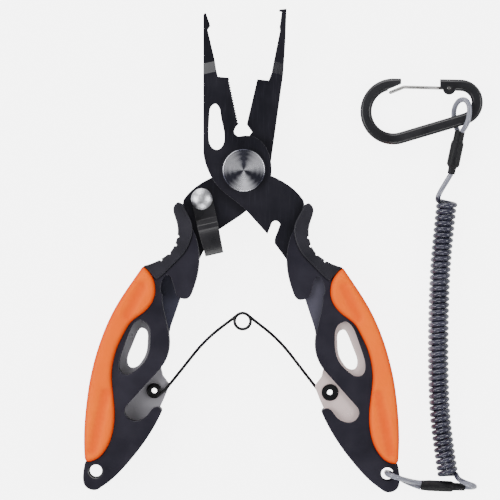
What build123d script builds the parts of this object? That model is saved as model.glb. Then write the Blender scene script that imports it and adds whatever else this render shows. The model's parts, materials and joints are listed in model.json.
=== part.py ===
"""Fishing pliers with a hook cutter, a handle latch, a spreading spring and a coiled lanyard.

Millimetres, +Z up.  The pliers lie open on a surface, jaws towards +Y, with the origin under the
middle of their box.  Each lever is drawn in the closed frame: the pivot at (0, 0), the centre line
of the shut pliers along Y, and the lever's own handle on its side.  The lever's plane then opens it.
"""

import os
from math import atan2, cos, degrees, pi, radians, sin, tan

from build123d import *

os.makedirs("parts", exist_ok=True)

# ---------------------------------------------------------------- driving dimensions
OPEN_ANGLE = 13.4  # each lever is this far from shut, in degrees
PIVOT_Y = 20.7  # the pivot's place ahead of the origin
MID_Z = 5.0  # height of the plane where the two levers meet
PLATE = 2.47  # thickness of a lever plate
LAP_GAP = 0.03  # from the meeting plane to either plate
FIT = 0.04  # radial clearance of a turning fit
SEAT_GAP = 0.02  # between two faces that lie on each other
PIVOT_RADIUS = 2.5

JOG_START = 26.8  # the jaws bend towards the meeting plane here
JOG_END = 29.6
SPRING_WIRE = 0.8
RING_RADIUS = 2.1  # the spring's middle ring, to the middle of its wire
LOOP_RADIUS = 1.6  # the loops at the spring's ends
LOOP_TURN = 315  # degrees of a loop or ring that the wire goes round
BOSS = (8.95, -61.6)  # the spring's eyelet on a handle
EYELET_SHANK = 1.1
RING_DROP = 39.45  # the spring's ring below the pivot

LANYARD_HOLE = (18.8, -85.65)
LANYARD_HOLE_RADIUS = 1.6
SCALE_HALF = 3.9  # half the thickness over the two handle scales
TAIL_HALF = 3.3  # and at their tail, thinner, so that the lanyard passes under it
GRIP_HALF = 5.0
THUMB_HALF = 4.4
THUMB_SKIN = 1.3  # the thumb rest's wall round the edge of the scales
THUMB_POCKET = 3.2  # half the room inside the thumb rest
BRIDGE_HALF = 3.15  # half the thickness over the scales' bridges in that room
THUMB_GROOVES = [(12.55, -20.9), (12.6, -23.2), (13.7, -25.7), (15.4, -27.9)]
THUMB_GROOVE_RADIUS = 0.35
SEAM = 0.08  # between the thumb rest's wall and the scales in it

RIVET = (8.9, -9.9)  # the latch's rivet
RIVET_SHANK = 1.25
LATCH_LENGTH = 14.9
LATCH_SHEET = 0.8
PIN_SPOTS = [(10.9, -50.5), (12.2, -78.5)]
PIN_RADIUS = 1.1

CORD = 1.36  # the lanyard's cord
COIL_RADIUS = 2.85  # outside its coil
FRONT = MID_Z + LAP_GAP  # the front plate's lower face
FRONT_TOP = FRONT + PLATE
BACK = MID_Z - LAP_GAP  # the back plate's upper face
BACK_UNDER = BACK - PLATE


# ---------------------------------------------------------------- planes and small helpers
def lever_plane(turn):
    """The plane of a lever at floor level: pivot at its origin, Y along the shut pliers."""
    turn = radians(turn)
    return Plane(origin=(0, PIVOT_Y, 0), x_dir=(cos(turn), sin(turn), 0), z_dir=(0, 0, 1))


def side_plane(turn):
    """The upright plane along a lever: its first axis runs to the jaw tips, its second up."""
    turn = radians(turn)
    along = (-sin(turn), cos(turn), 0)
    return Plane(origin=(0, PIVOT_Y, 0), x_dir=along, z_dir=(cos(turn), sin(turn), 0))


def on_side(points, side):
    """The points of a handle's right-hand outline, mirrored for the left one."""
    return [(side * x, y) for x, y in points]


def finish(builder, name):
    """Label the finished piece and write it."""
    builder.part.label = name
    export_step(builder.part, f"parts/{name}.step")
    box = builder.part.bounding_box()
    print(f"{name:24s} {builder.part.volume:9.1f} mm3  {len(builder.part.solids())} solid(s)",
          f" x {box.min.X:.1f}..{box.max.X:.1f}  y {box.min.Y:.1f}..{box.max.Y:.1f}",
          f" z {box.min.Z:.2f}..{box.max.Z:.2f}")


front_lever = lever_plane(OPEN_ANGLE)
back_lever = lever_plane(-OPEN_ANGLE)

# ---------------------------------------------------------------- outlines of the handle, right side
SHOULDER = [(6.7, -3.0), (9.7, -5.5), (11.9, -8.1), (13.5, -11.2)]
PLATE_UNDER_THUMB = [(13.5, -11.2), (12.6, -14.6), (11.1, -17.6), (10.6, -21.0), (11.3, -25.2),
                     (13.4, -28.6), (17.4, -32.0)]
PLATE_OUTER = [(17.4, -32.0), (20.6, -39.5), (22.6, -48.0), (23.4, -57.0), (23.1, -66.0),
               (21.9, -75.0), (20.4, -82.6)]
PLATE_TAIL = [(20.4, -82.6), (20.9, -85.8), (20.0, -88.4), (18.0, -88.9), (16.0, -87.4)]
PLATE_LOWER = [(16.0, -87.4), (12.4, -82.2), (9.6, -76.2), (7.9, -70.4), (6.4, -65.2)]
PLATE_LOBE = [(6.4, -65.2), (5.95, -62.9), (5.5, -59.7), (5.75, -58.8), (7.7, -57.2), (8.7, -55.2)]
PLATE_INNER = [(8.7, -55.2), (8.6, -49.5), (8.8, -44.2), (8.1, -36.5), (7.0, -30.5), (6.7, -27.0),
               (5.7, -25.3)]
PLATE_WINDOW = [(15.9, -46.4), (14.7, -46.8), (13.8, -49.2), (13.4, -52.2), (14.1, -55.2),
                (15.4, -56.9), (16.7, -57.1), (17.6, -56.0), (17.6, -52.4), (17.1, -48.9),
                (16.7, -47.2)]

THUMB_OUTER = [(14.6, -12.1), (15.45, -14.0), (14.0, -16.9), (12.9, -19.5), (12.7, -22.2),
               (13.3, -24.9), (14.8, -27.0), (17.0, -29.0), (19.5, -30.5)]
THUMB_INNER = [(15.3, -33.2), (13.4, -30.6), (11.7, -27.8), (9.9, -24.6), (9.1, -20.8),
               (9.6, -17.2), (11.6, -14.5), (13.6, -12.3)]

GRIP_OUTER = [(19.5, -30.5), (22.0, -37.0), (24.0, -43.0), (25.3, -49.4), (25.9, -56.0),
              (25.9, -62.2), (25.3, -68.8), (24.3, -75.2), (22.0, -83.8)]
GRIP_INNER = [(22.0, -83.8), (19.0, -82.1), (17.4, -79.1), (16.8, -74.9), (17.4, -70.2),
              (18.8, -65.7), (20.7, -60.0), (21.15, -56.0), (20.9, -52.2), (20.1, -48.6),
              (18.9, -45.2), (17.2, -43.2), (15.5, -40.7), (14.7, -37.5), (15.3, -34.6),
              (16.9, -32.2), (19.5, -30.5)]

SCALE_TAIL = [(22.0, -83.8), (21.7, -87.4), (20.3, -90.1), (18.1, -90.5), (16.4, -89.3)]
SCALE_LOWER = [(16.4, -89.3), (13.1, -85.1), (11.0, -81.3), (9.1, -77.3), (7.5, -73.2),
               (6.3, -69.2), (5.7, -66.4)]
SCALE_LIP = [(5.7, -66.4), (6.1, -65.6), (7.2, -65.4), (8.3, -66.3), (9.1, -68.1), (10.4, -69.6),
             (12.2, -70.4), (14.0, -70.0), (15.1, -68.6), (14.9, -66.7)]
SCALE_BODY = [(8.8, -55.6), (7.9, -53.0), (7.7, -50.6), (8.1, -48.0), (9.4, -44.6), (12.8, -36.4)]
SCALE_NOTCH = [(12.8, -36.4), (13.7, -33.2), (12.9, -31.4), (11.6, -32.0)]
SCALE_GUARD = [(9.3, -36.0), (7.9, -36.4), (6.3, -36.1), (5.4, -33.6), (5.2, -29.1), (6.1, -23.8),
               (8.0, -19.6)]
SCALE_WINDOW = [(16.6, -44.4), (14.5, -45.3), (13.2, -48.6), (12.7, -51.9), (13.3, -55.0),
                (15.0, -57.6), (16.8, -59.1), (18.4, -58.9), (19.4, -57.3), (19.6, -54.4),
                (19.1, -49.6), (18.1, -45.4)]

# ---------------------------------------------------------------- outlines of the jaws, each as shut
FRONT_JAW = [(-9.25, 6.9), (-1.2, 42.0), (-0.85, 42.4), (-0.4, 42.4), (-0.06, 39.5), (-0.06, 38.9),
             (-0.95, 38.1), (-0.9, 30.0), (-1.1, 27.4), (-1.1, 25.4), (1.6, 24.5), (1.4, 12.1)]
FRONT_NOTCH = [(1.4, 12.1), (0.2, 11.2), (-0.2, 10.2), (0.3, 9.2), (1.6, 8.85)]
FRONT_CHEEK = [(1.6, 8.85), (4.1, 8.2), (6.2, 6.3), (7.3, 3.4), (7.4, 0.0), (6.7, -3.0)]
FRONT_SLOT = [(5.7, -25.3), (3.95, -21.2), (3.6, -20.4), (3.9, -19.2), (6.1, -15.9)]
FRONT_SPUR = [(4.15, -14.95), (2.3, -17.6), (-1.4, -10.9)]
FRONT_LEFT = [(-1.4, -10.9), (-5.1, -5.9), (-7.7, -2.2), (-8.9, 1.2), (-9.35, 4.2), (-9.25, 6.9)]
JAW_WINDOW = [(-3.6, 18.7), (-4.6, 18.2), (-5.6, 15.9), (-7.0, 10.6), (-6.6, 7.5), (-5.5, 6.8),
              (-4.0, 7.5), (-2.95, 9.6), (-2.7, 12.3), (-2.65, 15.3), (-2.75, 18.0)]
TOOTH_PITCH = 0.68
TOOTH_COUNT = 17
TOOTH_SIDE = 0.53

BACK_JAW = [(6.6, 1.8), (4.0, 27.0), (2.4, 36.0), (0.75, 43.8), (-1.0, 43.15), (-1.1, 42.75),
            (-0.3, 42.75), (0.06, 39.5), (0.06, 38.9), (0.45, 37.9), (0.8, 29.6), (0.95, 26.6),
            (0.7, 24.5), (-2.3, 24.1), (-2.15, 12.0), (-0.3, 10.4), (-0.8, 9.1)]
BACK_DISC_LEFT = [(-0.8, 9.1), (-4.1, 8.0), (-6.6, 5.4), (-7.4, 1.6), (-6.7, -3.0)]
BACK_TANG_INNER = [(-5.7, -25.3), (-5.2, -23.0), (-2.8, -16.8), (2.0, -11.6), (4.4, -8.4)]
BACK_DISC_RIGHT = [(4.4, -8.4), (6.3, -4.6), (7.1, -1.4), (6.6, 1.8)]


# ---------------------------------------------------------------- the two lever plates
def jog_profile(direction):
    """A lever's side view: flat along the handle, its jaw bent onto the meeting plane."""
    near, far = LAP_GAP, LAP_GAP + PLATE
    shift = (near + far) / 2
    heel, tip = -96, 46
    line = [(heel, near), (JOG_START, near), (JOG_END, near - shift), (tip, near - shift),
            (tip, far - shift), (JOG_END, far - shift), (JOG_START, far), (heel, far)]
    return [(along, MID_Z + direction * up) for along, up in line]


with BuildPart() as front_plate:
    with BuildSketch(front_lever):
        with BuildLine():
            Polyline(*FRONT_JAW)
            Spline(*FRONT_NOTCH)
            Spline(*FRONT_CHEEK)
            Spline(*SHOULDER)
            Spline(*PLATE_UNDER_THUMB)
            Spline(*PLATE_OUTER)
            Spline(*PLATE_TAIL)
            Spline(*PLATE_LOWER)
            Polyline(*PLATE_LOBE)
            Polyline(*PLATE_INNER)
            Polyline(*FRONT_SLOT)
            ThreePointArc(FRONT_SLOT[-1], (5.5, -14.85), FRONT_SPUR[0])
            Polyline(*FRONT_SPUR)
            Spline(*FRONT_LEFT)
        make_face()
        for window in (PLATE_WINDOW, JAW_WINDOW):
            with BuildLine():
                Spline(*window, periodic=True)
            make_face(mode=Mode.SUBTRACT)
        tooth_places = [(1.64 - 0.01 * i, 23.6 - TOOTH_PITCH * i) for i in range(TOOTH_COUNT)]
        with Locations(*tooth_places):
            Rectangle(TOOTH_SIDE, TOOTH_SIDE, rotation=45, mode=Mode.SUBTRACT)
        Circle(PIVOT_RADIUS + FIT, mode=Mode.SUBTRACT)
        with Locations(BOSS):
            Circle(EYELET_SHANK + 0.05, mode=Mode.SUBTRACT)
        with Locations(LANYARD_HOLE):
            Circle(LANYARD_HOLE_RADIUS, mode=Mode.SUBTRACT)
        with Locations(*PIN_SPOTS):
            Circle(PIN_RADIUS + 0.02, mode=Mode.SUBTRACT)
    extrude(amount=12)
    with BuildSketch(side_plane(OPEN_ANGLE)):
        with BuildLine():
            Polyline(*jog_profile(1), close=True)
        make_face()
    extrude(amount=60, both=True, mode=Mode.INTERSECT)
finish(front_plate, "front_lever_plate")

with BuildPart() as back_plate:
    with BuildSketch(back_lever):
        with BuildLine():
            Polyline(*BACK_JAW)
            Spline(*BACK_DISC_LEFT)
            Spline(*on_side(SHOULDER, -1))
            Spline(*on_side(PLATE_UNDER_THUMB, -1))
            Spline(*on_side(PLATE_OUTER, -1))
            Spline(*on_side(PLATE_TAIL, -1))
            Spline(*on_side(PLATE_LOWER, -1))
            Polyline(*on_side(PLATE_LOBE, -1))
            Polyline(*on_side(PLATE_INNER, -1))
            Polyline(*BACK_TANG_INNER)
            Spline(*BACK_DISC_RIGHT)
        make_face()
        with BuildLine():
            Spline(*on_side(PLATE_WINDOW, -1), periodic=True)
        make_face(mode=Mode.SUBTRACT)
        Circle(PIVOT_RADIUS + FIT, mode=Mode.SUBTRACT)
        with Locations(on_side([BOSS], -1)[0]):
            Circle(EYELET_SHANK + 0.05, mode=Mode.SUBTRACT)
        with Locations(on_side([LANYARD_HOLE], -1)[0]):
            Circle(LANYARD_HOLE_RADIUS, mode=Mode.SUBTRACT)
        with Locations(on_side([RIVET], -1)[0]):
            Circle(RIVET_SHANK, mode=Mode.SUBTRACT)
        with Locations(*on_side(PIN_SPOTS, -1)):
            Circle(PIN_RADIUS + 0.02, mode=Mode.SUBTRACT)
    extrude(amount=12)
    with BuildSketch(side_plane(-OPEN_ANGLE)):
        with BuildLine():
            Polyline(*jog_profile(-1), close=True)
        make_face()
    extrude(amount=60, both=True, mode=Mode.INTERSECT)
finish(back_plate, "back_lever_plate")

# ---------------------------------------------------------------- the pivot
CAP_RADIUS = 5.55
CAP_SEAT = FRONT_TOP + SEAT_GAP
CAP_TOP = FRONT_TOP + 1.45
with BuildPart() as pivot_bolt:
    with BuildSketch(Plane(origin=(0, PIVOT_Y, 0), x_dir=(1, 0, 0), z_dir=(0, -1, 0))):
        with BuildLine():
            Polyline((0, 0.6), (PIVOT_RADIUS - 0.3, 0.6), (PIVOT_RADIUS, 0.9),
                     (PIVOT_RADIUS, CAP_SEAT), (CAP_RADIUS, CAP_SEAT), (CAP_RADIUS, CAP_TOP - 0.35),
                     (CAP_RADIUS - 0.35, CAP_TOP), (0, CAP_TOP - 0.25), close=True)
        make_face()
    revolve(axis=Axis((0, PIVOT_Y, 0), (0, 0, 1)))
finish(pivot_bolt, "pivot_bolt")

WASHER_TOP = BACK_UNDER - SEAT_GAP
NUT_TOP = WASHER_TOP - 0.3
with BuildPart() as pivot_washer:
    with BuildSketch(front_lever.offset(NUT_TOP)):
        Circle(5.2)
        Circle(PIVOT_RADIUS + FIT, mode=Mode.SUBTRACT)
    extrude(amount=0.28)
finish(pivot_washer, "pivot_washer")

with BuildPart() as pivot_nut:
    with BuildSketch(front_lever.offset(0.3)):
        RegularPolygon(4.3, 6, major_radius=False)
        Circle(PIVOT_RADIUS + FIT, mode=Mode.SUBTRACT)
    extrude(amount=NUT_TOP - 0.3)
    chamfer(pivot_nut.edges().filter_by(GeomType.LINE).group_by(Axis.Z)[0], 0.4)
finish(pivot_nut, "pivot_nut")


# ---------------------------------------------------------------- the handles
def grip_outline(side):
    """The edges round a grip."""
    with BuildLine() as outline:
        Spline(*on_side(GRIP_OUTER, side))
        Spline(*on_side(GRIP_INNER, side))
    return outline.edges()


def thumb_outline(side):
    """The edges round a thumb rest, closed along the top of the grip."""
    with BuildLine() as outline:
        Spline(*on_side(THUMB_OUTER, side))
        Polyline(*on_side([THUMB_OUTER[-1], (16.85, -32.1), THUMB_INNER[0]], side))
        Spline(*on_side(THUMB_INNER, side))
        Line(*on_side([THUMB_INNER[-1], THUMB_OUTER[0]], side))
    return outline.edges()


for side_name, side, lever in (("right", 1, front_lever), ("left", -1, back_lever)):
    plate_low, plate_high = (FRONT, FRONT_TOP) if side == 1 else (BACK_UNDER, BACK)
    boss = (side * BOSS[0], BOSS[1])
    hole = (side * LANYARD_HOLE[0], LANYARD_HOLE[1])
    pins = on_side(PIN_SPOTS, side)
    core = [(x - THUMB_SKIN, y) for x, y in THUMB_OUTER]

    # the soft grip wraps the outer edge of the plate
    with BuildPart() as grip:
        with BuildSketch(lever.offset(MID_Z - GRIP_HALF)):
            make_face(grip_outline(side))
        extrude(amount=2 * GRIP_HALF)
        rims = grip.edges().filter_by(Axis.Z, reverse=True)
        outer_rims = rims.group_by(SortBy.LENGTH)[-1] + rims.group_by(SortBy.LENGTH)[-2]
        chamfer(outer_rims, 0.9)
        with BuildSketch(lever.offset(plate_low - 0.02)):
            with BuildLine():
                Spline(*on_side(PLATE_UNDER_THUMB, side))
                Spline(*on_side(PLATE_OUTER, side))
                Spline(*on_side(PLATE_TAIL, side))
                Polyline(*on_side([PLATE_TAIL[-1], (0, -88), (0, -20), PLATE_UNDER_THUMB[0]], side))
            make_face()
        extrude(amount=PLATE + 0.04, mode=Mode.SUBTRACT)
    finish(grip, f"{side_name}_grip")

    # the ribbed thumb rest wraps the edge above it
    with BuildPart() as thumb_rest:
        with BuildSketch(lever.offset(MID_Z - THUMB_HALF)):
            make_face(thumb_outline(side))
            with Locations(*on_side(THUMB_GROOVES, side)):
                Circle(THUMB_GROOVE_RADIUS, mode=Mode.SUBTRACT)
        extrude(amount=2 * THUMB_HALF)
        # the room inside for the plate and the scales' bridges
        with BuildSketch(lever.offset(MID_Z - THUMB_POCKET)):
            with BuildLine():
                Spline(*on_side(core, side))
                Polyline(*on_side([core[-1], (19.0, -35.0), (4.0, -35.0), (4.0, -8.0), core[0]], side))
            make_face()
        extrude(amount=2 * THUMB_POCKET, mode=Mode.SUBTRACT)
        with BuildSketch(lever.offset(MID_Z - GRIP_HALF)):
            make_face(grip_outline(side))
        extrude(amount=2 * GRIP_HALF, mode=Mode.SUBTRACT)
    finish(thumb_rest, f"{side_name}_thumb_rest")

    # a hard scale on each face of the plate: body, guard and the bridge under the thumb rest
    faces = (("front", plate_high + SEAT_GAP, MID_Z + SCALE_HALF),
             ("back", plate_low - SEAT_GAP, MID_Z - SCALE_HALF))
    for face_name, seat, skin in faces:
        outward = 1 if skin > seat else -1
        low, high = min(seat, skin), max(seat, skin)
        with BuildPart() as scale:
            with BuildSketch(lever.offset(low)):
                with BuildLine():
                    core_line = [(x - SEAM, y) for x, y in core]
                    Spline(*on_side(core_line, side))
                    Polyline(*on_side([core_line[-1], (18.1, -33.0), (21.0, -38.5), SCALE_TAIL[0]], side))
                    Spline(*on_side(SCALE_TAIL, side))
                    Spline(*on_side(SCALE_LOWER, side))
                    Spline(*on_side(SCALE_LIP, side))
                    Line(*on_side([SCALE_LIP[-1], SCALE_BODY[0]], side))
                    Spline(*on_side(SCALE_BODY, side))
                    Spline(*on_side(SCALE_NOTCH, side))
                    Line(*on_side([SCALE_NOTCH[-1], SCALE_GUARD[0]], side))
                    Spline(*on_side(SCALE_GUARD, side))
                    Polyline(*on_side([SCALE_GUARD[-1], (10.2, -17.0), (12.2, -14.2), core_line[0]], side))
                make_face()
                with BuildLine():
                    Spline(*on_side(SCALE_WINDOW, side), periodic=True)
                make_face(mode=Mode.SUBTRACT)
                with Locations(hole):
                    Circle(LANYARD_HOLE_RADIUS + 0.25, mode=Mode.SUBTRACT)
            extrude(amount=high - low)
            # the bridge lies lower, under the thumb rest
            with BuildSketch(lever.offset(MID_Z + outward * BRIDGE_HALF)):
                make_face(thumb_outline(side))
            extrude(amount=outward * 3, mode=Mode.SUBTRACT)
            # the grip's bed
            with BuildSketch(lever.offset(MID_Z - GRIP_HALF)):
                make_face(grip_outline(side))
            extrude(amount=2 * GRIP_HALF, mode=Mode.SUBTRACT)
            # the tail tapers towards the lanyard's hole
            with BuildSketch(side_plane(OPEN_ANGLE * side)):
                tip_skin = MID_Z + outward * TAIL_HALF
                with BuildLine():
                    Polyline((-76, skin), (-84, tip_skin), (-92, tip_skin), (-92, skin + outward),
                             (-76, skin + outward), close=True)
                make_face()
            extrude(amount=side * 40, mode=Mode.SUBTRACT)
            with Locations(lever.offset(MID_Z)):
                with Locations(*pins):
                    Cylinder(PIN_RADIUS + 0.02, 5.6, mode=Mode.SUBTRACT)
        finish(scale, f"{side_name}_scale_{face_name}")

    with BuildPart() as scale_pins:
        with BuildSketch(lever.offset(MID_Z - 2.75)):
            with Locations(*pins):
                Circle(PIN_RADIUS)
        extrude(amount=5.5)
    finish(scale_pins, f"{side_name}_scale_pins")

    # a hollow rivet holds the spring's end: wide flange on the plate, narrow one over the loop
    wide_face = plate_high if side == 1 else plate_low
    narrow_face = (plate_low if side == 1 else plate_high) - side * (SPRING_WIRE + 0.14)
    with BuildPart() as eyelet:
        for face, radius, away in ((wide_face, 2.2, side), (narrow_face, 1.5, -side)):
            with BuildSketch(lever.offset(face + away * 0.02)):
                with Locations(boss):
                    Circle(radius)
            extrude(amount=away * 0.3)
        with BuildSketch(lever.offset(min(wide_face, narrow_face) - 0.1)):
            with Locations(boss):
                Circle(EYELET_SHANK)
        extrude(amount=abs(wide_face - narrow_face) + 0.2)
        with BuildSketch(lever):
            with Locations(boss):
                Circle(0.72)
        extrude(amount=12, mode=Mode.SUBTRACT)
    finish(eyelet, f"{side_name}_spring_eyelet")

# ---------------------------------------------------------------- the spring, in two turning halves
for side_name, side, turn in (("right", 1, OPEN_ANGLE), ("left", -1, -OPEN_ANGLE)):
    boss_x = side * (BOSS[0] * cos(radians(OPEN_ANGLE)) - BOSS[1] * sin(radians(OPEN_ANGLE)))
    boss_y = PIVOT_Y + BOSS[0] * sin(radians(OPEN_ANGLE)) + BOSS[1] * cos(radians(OPEN_ANGLE))
    ring = (0, PIVOT_Y - RING_DROP)
    loop_z = MID_Z - side * (LAP_GAP + 0.03 + SPRING_WIRE / 2)
    ring_z = MID_Z + side * (SPRING_WIRE / 2 + 0.04)
    reach = ((boss_x - ring[0]) ** 2 + (boss_y - ring[1]) ** 2) ** 0.5
    along = ((ring[0] - boss_x) / reach, (ring[1] - boss_y) / reach)
    across = (-side * along[1], side * along[0])

    def arm_point(distance, offset_out, height):
        """A point of the arm, so far from the eyelet and so far off the line to the ring."""
        return (boss_x + along[0] * distance + across[0] * offset_out,
                boss_y + along[1] * distance + across[1] * offset_out, height)

    # loop, arm and ring are one bent wire; loop and ring stay open by the rest of the turn
    across_angle = degrees(atan2(across[1], across[0]))
    with BuildPart() as spring_arm:
        with BuildLine() as spring_line:
            CenterArc((boss_x, boss_y, loop_z), LOOP_RADIUS, across_angle, side * LOOP_TURN)
            FilletPolyline(
                arm_point(0, LOOP_RADIUS, loop_z),
                arm_point(2.4, LOOP_RADIUS, loop_z),
                arm_point(8.5, 0.2, loop_z),
                arm_point(19, -2.3, ring_z),
                arm_point(reach - 2.4, -RING_RADIUS, ring_z),
                arm_point(reach, -RING_RADIUS, ring_z),
                radius=[6, 14, 38, 6])
            CenterArc((ring[0], ring[1], ring_z), RING_RADIUS, across_angle + 180, side * LOOP_TURN)
        with BuildSketch(Plane(origin=spring_line.line @ 0, z_dir=spring_line.line % 0)):
            Circle(SPRING_WIRE / 2)
        sweep()
    finish(spring_arm, f"spring_{side_name}_arm")

# ---------------------------------------------------------------- the latch
rivet = (-RIVET[0], RIVET[1])
rivet_world = back_lever.from_local_coords(Vector(rivet[0], rivet[1], 0))
LATCH_TURN = -63.1 - OPEN_ANGLE  # the latch points this way as it hangs open
latch_x = (cos(radians(LATCH_TURN)), sin(radians(LATCH_TURN)), 0)
latch_plane = Plane(origin=rivet_world, x_dir=latch_x, z_dir=(0, 0, 1))
latch_side = Plane(origin=rivet_world, x_dir=latch_x,
                   z_dir=(sin(radians(LATCH_TURN)), -cos(radians(LATCH_TURN)), 0))
LATCH_BASE = BACK + 0.4
RIVET_HEAD = 2.8
DOME_RISE = 1.2
DOME_RADIUS = (RIVET_HEAD**2 + DOME_RISE**2) / (2 * DOME_RISE)
ARCH_TOP = MID_Z + 4.2

with BuildPart() as latch_washer:
    with BuildSketch(latch_plane.offset(BACK + 0.02)):
        Circle(2.4)
        Circle(RIVET_SHANK + FIT, mode=Mode.SUBTRACT)
    extrude(amount=0.33)
finish(latch_washer, "latch_washer")

with BuildPart() as latch:
    with BuildSketch(latch_side):
        with BuildLine():
            base_z = LATCH_BASE + LATCH_SHEET / 2
            ledge_z = FRONT_TOP + 0.25 + LATCH_SHEET / 2
            end_s = LATCH_LENGTH - LATCH_SHEET / 2
            Line((-2.8, base_z), (5.5, base_z))
            Line((5.5, base_z), (6.9, ledge_z))
            Line((6.9, ledge_z), (8.0, ledge_z))
            ThreePointArc((8.0, ledge_z), (11.2, ARCH_TOP - LATCH_SHEET / 2), (end_s, ledge_z - 0.3))
            Line((end_s, ledge_z - 0.3), (end_s, MID_Z + 0.45 + LATCH_SHEET / 2))
            offset(amount=LATCH_SHEET / 2)
        make_face()
    extrude(amount=4, both=True)
    with BuildSketch(latch_plane):
        with BuildLine():
            Polyline((0, 2.75), (7.2, 2.75), (16, 2.35), (16, -2.35), (7.2, -2.75), (0, -2.75))
            ThreePointArc((0, -2.75), (-2.75, 0), (0, 2.75))
        make_face()
        Circle(RIVET_SHANK + FIT, mode=Mode.SUBTRACT)
    extrude(amount=12, mode=Mode.INTERSECT)
finish(latch, "latch")

with BuildPart() as latch_rivet:
    with BuildSketch(Plane(origin=rivet_world, x_dir=(1, 0, 0), z_dir=(0, -1, 0))):
        head_z = LATCH_BASE + LATCH_SHEET + 0.03
        dome_z = head_z + 0.3
        with BuildLine():
            Polyline((0, dome_z + DOME_RISE), (0, BACK_UNDER - 0.7), (1.9, BACK_UNDER - 0.7),
                     (2.1, BACK_UNDER - SEAT_GAP), (RIVET_SHANK, BACK_UNDER - SEAT_GAP),
                     (RIVET_SHANK, head_z), (RIVET_HEAD, head_z), (RIVET_HEAD, dome_z))
            RadiusArc((RIVET_HEAD, dome_z), (0, dome_z + DOME_RISE), -DOME_RADIUS)
        make_face()
    revolve(axis=Axis(rivet_world, (0, 0, 1)))
finish(latch_rivet, "latch_rivet")

# ---------------------------------------------------------------- the lanyard's cord
SLEEVE_Z = 1.5
LOWER_SLEEVE = [(47.2, -61.6, SLEEVE_Z), (58.8, -62.0, SLEEVE_Z)]
UPPER_SLEEVE = [(54.5, 20.3, 1.75), (56.75, 31.6, 2.4)]

LOWER_LOOP = [(47.2, -61.0, 2.1), (45.7, -60.8, 2.4), (43.7, -60.2, 5.4), (41.8, -59.5, 9.2),
              (39.8, -58.8, 10.6), (38.3, -58.4, 9.3), (38.05, -58.2, 6.4), (38.2, -58.3, 3.4),
              (38.1, -58.2, 1.5), (39.0, -58.5, 0.72), (41.6, -59.8, 0.75), (44.6, -61.4, 0.7),
              (47.2, -62.2, 1.0)]
LOWER_TAIL = [(58.8, -62.0, 1.5), (60.4, -62.0, 1.6), (61.0, -61.5, 3.0), (60.0, -61.1, 4.4),
              (58.2, -60.6, 4.9), (56.6, -59.7, 4.3), (55.6, -58.9, 3.3)]
COIL_ROUTE = [(53.4, 13.1), (52.7, 6.0), (51.9, -2.5), (51.5, -13.0), (51.4, -25.0),
              (51.6, -36.0), (52.3, -47.0), (54.3, -59.0)]
UPPER_TAIL = [(51.3, 13.1, 3.4), (51.8, 15.0, 3.4), (53.0, 17.6, 2.3), (54.5, 20.3, 1.75)]
UPPER_LOOP = [(56.2, 31.6, 1.4), (55.6, 33.1, 0.72), (55.1, 35.6, 0.72), (55.2, 37.7, 1.6),
              (56.2, 39.6, 3.4), (57.9, 39.9, 4.9), (59.0, 38.3, 5.3), (59.0, 35.6, 5.2),
              (58.3, 33.0, 5.1), (57.3, 31.6, 3.4)]


def corner_radii(route):
    """The largest arc that each corner of a cord's route allows."""
    radii = []
    for before, corner, after in zip(route, route[1:], route[2:]):
        run_in = Vector(*corner) - Vector(*before)
        run_out = Vector(*after) - Vector(*corner)
        half_turn = radians(run_in.get_angle(run_out)) / 2
        radii.append(0.45 * min(run_in.length, run_out.length) / tan(half_turn))
    return radii


for cord_name, route, radius in (
        ("lanyard_lower_loop", LOWER_LOOP, CORD / 2),
        ("lanyard_lower_tail", LOWER_TAIL, CORD / 2),
        ("lanyard_coil", [(x, y, COIL_RADIUS) for x, y in COIL_ROUTE], COIL_RADIUS),
        ("lanyard_upper_tail", UPPER_TAIL, CORD / 2),
        ("lanyard_upper_loop", UPPER_LOOP, CORD / 2)):
    radii = corner_radii(route)
    with BuildPart() as cord:
        with BuildLine():
            centre = FilletPolyline(*route, radius=radii)
        with BuildSketch(Plane(origin=centre @ 0, z_dir=centre % 0)):
            Circle(radius)
        sweep()
    finish(cord, cord_name)
    print("    radii", [round(r, 1) for r in radii], "length", round(centre.length, 1),
          "volume over section x length", round(cord.part.volume / (pi * radius**2 * centre.length), 4))

# heat-shrink sleeves, each over a crimped ferrule
for sleeve_name, (start, end), wide_radius, neck_in, neck_out, wide_from, wide_to in (
        ("lanyard_lower", LOWER_SLEEVE, 1.45, 1.3, 1.0, 1.9, 8.0),
        ("lanyard_upper", UPPER_SLEEVE, 1.7, 1.0, 1.35, 2.4, 8.2)):
    axis = Vector(*end) - Vector(*start)
    length = axis.length
    sleeve_plane = Plane(origin=start, x_dir=axis, z_dir=axis.cross(Vector(0, 0, 1)))
    with BuildPart() as sleeve:
        with BuildSketch(sleeve_plane):
            with BuildLine():
                Polyline((0, 0), (length, 0), (length, neck_out), (wide_to + 0.7, neck_out + 0.05),
                         (wide_to, wide_radius), (wide_from, wide_radius),
                         (wide_from - 0.7, neck_in + 0.05), (0, neck_in), close=True)
            make_face()
            with Locations(((wide_from + wide_to) / 2, 0)):
                Rectangle(wide_to - wide_from - 0.8, 1.96, mode=Mode.SUBTRACT)
        revolve(axis=Axis(start, axis))
    finish(sleeve, f"{sleeve_name}_sleeve")
    with BuildPart() as ferrule:
        with BuildSketch(sleeve_plane):
            with Locations(((wide_from + wide_to) / 2, 0.475)):
                Rectangle(wide_to - wide_from - 0.9, 0.95)
        revolve(axis=Axis(start, axis))
    finish(ferrule, f"{sleeve_name}_ferrule")

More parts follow.
